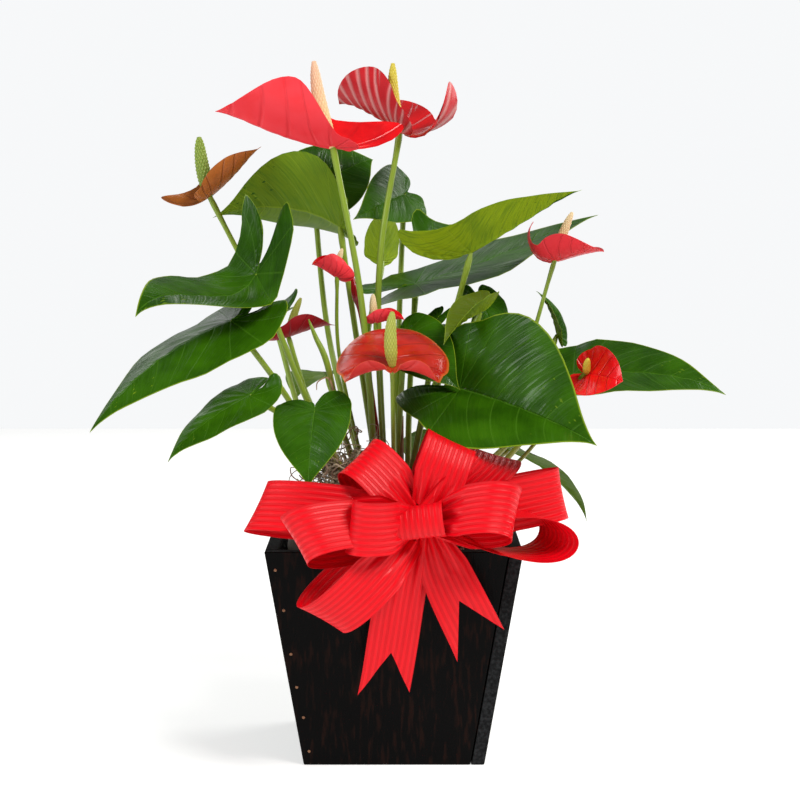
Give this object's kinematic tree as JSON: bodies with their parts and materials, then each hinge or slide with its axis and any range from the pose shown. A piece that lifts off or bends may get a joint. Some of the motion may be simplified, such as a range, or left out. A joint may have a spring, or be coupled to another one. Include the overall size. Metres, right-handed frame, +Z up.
{
  "type": "potted anthurium",
  "caption": "Flowering anthurium with glossy heart-shaped leaves and red spathes, rooted in a nursery pot inside a tapered lacquered wooden planter with moss and a ribbon bow.",
  "frame": {"origin": "middle of the planter's foot, on the floor", "axes": "+Z up along the stems; the ribbon bow and the planter's front are on the -Y side; +X is to the right as seen from the front"},
  "size_m": [0.4743, 0.3332, 0.5291],
  "materials": {
    "lacquered_wood": "dark brown gloss lacquer over vertical grain",
    "pot_plastic": "matt moulded plastic",
    "potting_mix": "loose peat and bark",
    "spanish_moss": "dry curly moss",
    "leaf_green": "glossy dark green leaf with pale veins",
    "stalk_green": "satin yellow-green stalk",
    "spathe_red": "waxy red",
    "ribbon_satin": "striped red satin",
    "wire_steel": "thin drawn wire"
  },
  "bodies": {
    "root": {"planter_front": "lacquered_wood", "planter_right": "lacquered_wood", "planter_back": "lacquered_wood", "planter_left": "lacquered_wood", "planter_base": "lacquered_wood", "grow_pot": "pot_plastic", "potting_mix": "potting_mix", "moss": "spanish_moss", "leaf_left_chair": "leaf_green", "leaf_left_long": "leaf_green", "leaf_left_low": "leaf_green", "leaf_front_heart": "leaf_green", "leaf_upper_left": "leaf_green", "leaf_top_back": "leaf_green", "leaf_top_centre": "leaf_green", "leaf_back_v": "leaf_green", "leaf_upper_right": "leaf_green", "leaf_right_broad": "leaf_green", "leaf_right_inner": "leaf_green", "leaf_young_olive": "leaf_green", "leaf_front_centre": "leaf_green", "leaf_front_large": "leaf_green", "leaf_right_far": "leaf_green", "leaf_inner_dark": "leaf_green", "leaf_left_back": "leaf_green", "leaf_right_back": "leaf_green", "leaf_small_folded": "leaf_green", "leaf_low_right": "leaf_green", "leaf_low_back": "leaf_green", "leaf_back_middle": "leaf_green", "leaf_back_left": "leaf_green", "bloom_tall_left_stalk": "stalk_green", "bloom_tall_left_spathe": "spathe_red", "bloom_tall_right_stalk": "stalk_green", "bloom_tall_right_spathe": "spathe_red", "bloom_faded_stalk": "stalk_green", "bloom_faded_spathe": "spathe_red", "bloom_right_small_stalk": "stalk_green", "bloom_right_small_spathe": "spathe_red", "bloom_right_front_stalk": "stalk_green", "bloom_right_front_spathe": "spathe_red", "bloom_front_stalk": "stalk_green", "bloom_front_spathe": "spathe_red", "bloom_left_dark_stalk": "stalk_green", "bloom_left_dark_spathe": "spathe_red", "bloom_left_small_stalk": "stalk_green", "bloom_left_small_spathe": "spathe_red", "bloom_inner_small_stalk": "stalk_green", "bloom_inner_small_spathe": "spathe_red", "young_spear": "leaf_green", "flower_bud": "spathe_red", "ribbon_bow": "ribbon_satin", "bow_wire": "wire_steel"}
  },
  "joints": []
}
